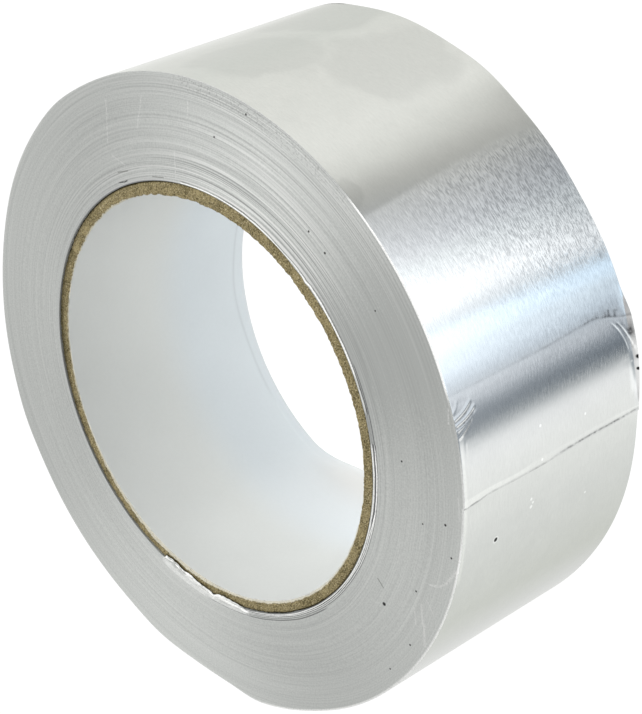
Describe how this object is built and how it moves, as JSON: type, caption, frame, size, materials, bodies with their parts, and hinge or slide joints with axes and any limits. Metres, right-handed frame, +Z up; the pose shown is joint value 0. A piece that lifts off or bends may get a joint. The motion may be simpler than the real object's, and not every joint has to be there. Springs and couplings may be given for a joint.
{
  "type": "roll of aluminium foil tape",
  "caption": "Wide roll of bare aluminium foil adhesive tape wound on a brown board core with a white paper lining.",
  "frame": {"origin": "centre of the side face that the roll stands on, on the roll's axis", "axes": "+Z up along the roll's axis; -Y passes through the tape's free end; the turns run anticlockwise from it, seen from above"},
  "size_m": [0.1189, 0.119, 0.046],
  "materials": {
    "foil": "bright rolled foil, brushed along the tape, cut edges grey",
    "board": "raw cut brown board, mottled",
    "white_paper": "smooth matt white paper"
  },
  "bodies": {
    "root": {"tape_roll": "foil", "cardboard_core": "board", "core_lining": "white_paper"}
  },
  "joints": []
}
